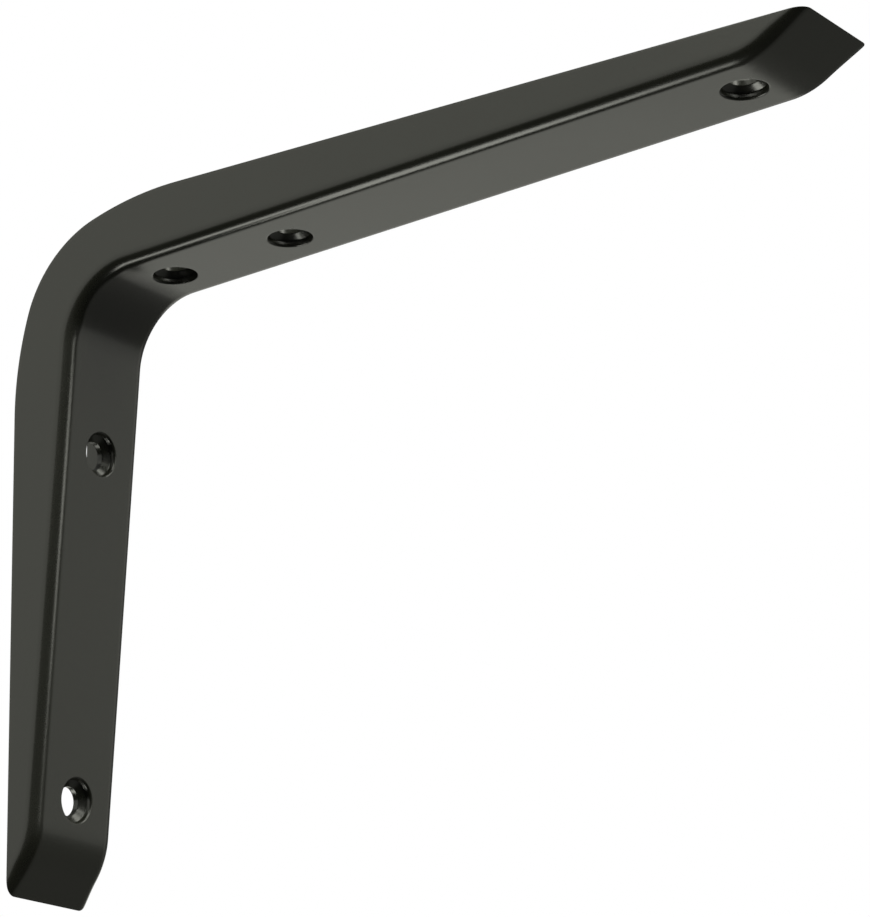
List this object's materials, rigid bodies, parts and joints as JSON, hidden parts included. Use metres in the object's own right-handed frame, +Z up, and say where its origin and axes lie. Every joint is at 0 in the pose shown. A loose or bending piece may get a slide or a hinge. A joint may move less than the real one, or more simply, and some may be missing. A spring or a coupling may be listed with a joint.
{
  "type": "cantilever shelf bracket",
  "caption": "Pressed steel L-shaped bracket: a tapering channel, open to the wall and the shelf, with sloping noses, a round outer corner and drawn screw cups.",
  "frame": {"origin": "half way across the width, where the wall plane X = 0 meets the shelf plane Z = 0", "axes": "+X away from the wall along the shelf arm, +Z up, the wall arm runs down along -Z, Y across the width"},
  "size_m": [0.2, 0.026, 0.15],
  "materials": {
    "black_coat": "satin powder coat, near black with a faint olive tint"
  },
  "bodies": {
    "root": {"bracket": "black_coat"}
  },
  "joints": []
}
